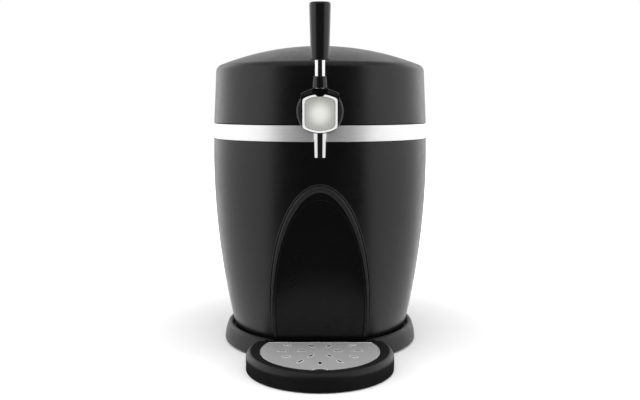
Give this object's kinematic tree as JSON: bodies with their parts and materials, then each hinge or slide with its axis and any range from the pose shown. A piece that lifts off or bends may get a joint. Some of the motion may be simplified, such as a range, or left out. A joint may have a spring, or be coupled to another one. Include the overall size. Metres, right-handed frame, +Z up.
{
  "type": "mini keg beer dispenser",
  "caption": "Barrel-shaped cooled dispenser for a small beer keg, with a hinged domed lid, front lever tap, glass recess and pull-out drip tray.",
  "frame": {"origin": "middle of the footprint's bounding box, on the surface it stands on", "axes": "+Z up, front of the dispenser with its tap towards -Y, +X to its right as seen from the front"},
  "size_m": [0.2726, 0.3955, 0.4134],
  "materials": {
    "body_plastic": "satin black moulded plastic",
    "lid_plastic": "satin black moulded plastic",
    "recess_plastic": "satin black moulded plastic",
    "base_plastic": "satin black moulded plastic",
    "rear_plastic": "satin black moulded plastic",
    "trim_metal": "satin brushed",
    "grille_steel": "brushed stainless",
    "inner_plastic": "satin dark grey",
    "foam": "matte rigid foam",
    "gasket_rubber": "soft matte",
    "feet_rubber": "matte",
    "well_aluminium": "satin drawn",
    "ceramic": "matte white ceramic",
    "fan_plastic": "satin black",
    "screw_steel": "plain steel",
    "circuit_board": "green lacquer",
    "fitting_plastic": "black",
    "rocker_plastic": "gloss black",
    "tap_plastic": "polished black",
    "tap_steel": "stainless",
    "hose_plastic": "milky hose",
    "coupler_plastic": "dark grey",
    "chrome_parts": "mirror chrome",
    "plate_satin": "satin pearl silver",
    "grip_plastic": "satin black"
  },
  "bodies": {
    "housing": {"base_ring": "base_plastic", "base_plate": "base_plastic", "base_screws": "screw_steel", "rubber_feet": "feet_rubber", "body_shell": "body_plastic", "recess_panel": "recess_plastic", "trim_band": "trim_metal", "top_deck": "inner_plastic", "well_liner": "well_aluminium", "insulation_jacket": "foam", "rear_housing": "rear_plastic", "vent_grille": "rear_plastic", "cold_block": "well_aluminium", "peltier_module": "ceramic", "heat_sink": "well_aluminium", "fan_frame": "fan_plastic", "fan_screws": "screw_steel", "control_board": "circuit_board", "power_inlet": "fitting_plastic", "switch_bezel": "fitting_plastic", "hinge_bracket": "rear_plastic", "hinge_pin": "screw_steel", "tap_saddle": "tap_plastic", "escutcheon": "tap_plastic", "tap_shank": "tap_steel", "shank_nut": "tap_steel", "shank_elbow": "tap_steel", "beer_hose": "hose_plastic", "keg_coupler": "coupler_plastic", "coupler_dock": "inner_plastic", "hose_clip": "inner_plastic", "tap_body": "tap_plastic", "pivot_pins": "screw_steel", "valve_spring": "screw_steel", "spout": "chrome_parts", "faceplate_rim": "chrome_parts", "faceplate_panel": "plate_satin"},
    "lid": {"lid_shell": "lid_plastic", "lid_foam": "foam", "lid_liner": "inner_plastic", "lid_gasket": "gasket_rubber", "hinge_arm": "rear_plastic"},
    "lever": {"lever_yoke": "tap_plastic", "lever_collar": "tap_plastic", "lever_stem": "chrome_parts", "lever_grip": "grip_plastic"},
    "plunger": {"plunger": "screw_steel"},
    "drip_tray": {"drip_tray": "base_plastic"},
    "drip_grille": {"drip_grille": "grille_steel"},
    "fan_rotor": {"fan_rotor": "fan_plastic"},
    "switch_rocker": {"switch_rocker": "rocker_plastic"}
  },
  "joints": [
    {"name": "lid_hinge", "type": "hinge", "parent": "housing", "child": "lid", "pos_m": [0, 0.16675, 0.286], "axis": [-1, 0, 0], "range_deg": [0, 85]},
    {"name": "tap_lever", "type": "hinge", "parent": "housing", "child": "lever", "pos_m": [0, -0.13525, 0.3005], "axis": [1, 0, 0], "range_deg": [0, 25]},
    {"name": "valve_plunger", "type": "slide", "parent": "housing", "child": "plunger", "axis": [0, 1, 0], "range_m": [0, 0.003]},
    {"name": "tray_slide", "type": "slide", "parent": "housing", "child": "drip_tray", "axis": [0, -1, 0], "range_m": [0, 0.14]},
    {"name": "grille_lift", "type": "slide", "parent": "drip_tray", "child": "drip_grille", "axis": [0, 0, 1], "range_m": [0, 0.03]},
    {"name": "fan_spin", "type": "hinge", "parent": "housing", "child": "fan_rotor", "pos_m": [0, 0.17275, 0.152], "axis": [0, 1, 0], "continuous": true},
    {"name": "power_rocker", "type": "hinge", "parent": "housing", "child": "switch_rocker", "pos_m": [-0.042, 0.18915, 0.066], "axis": [-1, 0, 0], "range_deg": [0, 16]}
  ],
  "couplings": [
    {"joint": "valve_plunger", "follows": "tap_lever", "m_per_rad": 0.0067}
  ]
}
